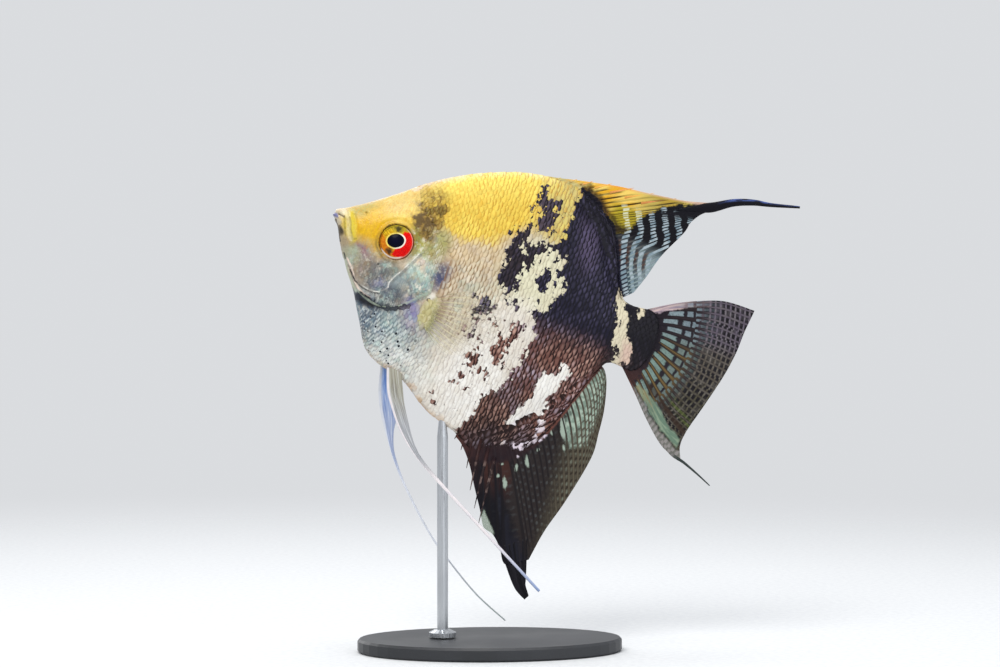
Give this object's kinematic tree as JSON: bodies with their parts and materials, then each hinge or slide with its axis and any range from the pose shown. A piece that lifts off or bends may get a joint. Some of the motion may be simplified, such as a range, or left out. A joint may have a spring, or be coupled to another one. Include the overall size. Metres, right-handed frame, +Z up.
{
  "type": "freshwater angelfish",
  "caption": "Life-size still freshwater angelfish, marbled gold, black and white, with trailing fins, held head-up by one rod on a plain oval base.",
  "frame": {"origin": "centre of the base's underside", "axes": "+Z up, the fish faces -X with its left side towards -Y"},
  "size_m": [0.1027, 0.038, 0.1049],
  "materials": {
    "head_skin": "wet fish skin, golden yellow over a silver-grey cheek",
    "body_skin": "wet scaled skin, marbled gold, white, blue-black and red-brown",
    "eye": "clear wet cornea over a golden and red iris",
    "dorsal_web": "thin fin web, yellow to black with pale bars",
    "anal_web": "thin fin web, brown-black with pale dots",
    "caudal_web": "thin fin web, checkered dark and pale",
    "pelvic_web": "pale translucent fin web and feelers",
    "pectoral_web": "clear fin web with pale yellow rays",
    "stand_black": "satin black powder coat",
    "stand_steel": "fine brushed"
  },
  "bodies": {
    "root": {"head": "head_skin", "upper_jaw": "head_skin", "lower_jaw": "head_skin", "gill_cover_left": "head_skin", "gill_cover_right": "head_skin", "eye_left": "eye", "eye_right": "eye", "trunk": "body_skin", "tail": "body_skin", "dorsal_fin": "dorsal_web", "anal_fin": "anal_web", "caudal_fin": "caudal_web", "pelvic_fin_left": "pelvic_web", "pelvic_fin_right": "pelvic_web", "pectoral_fin_left": "pectoral_web", "pectoral_fin_right": "pectoral_web", "stand_base": "stand_black", "stand_rod": "stand_steel"}
  },
  "joints": []
}
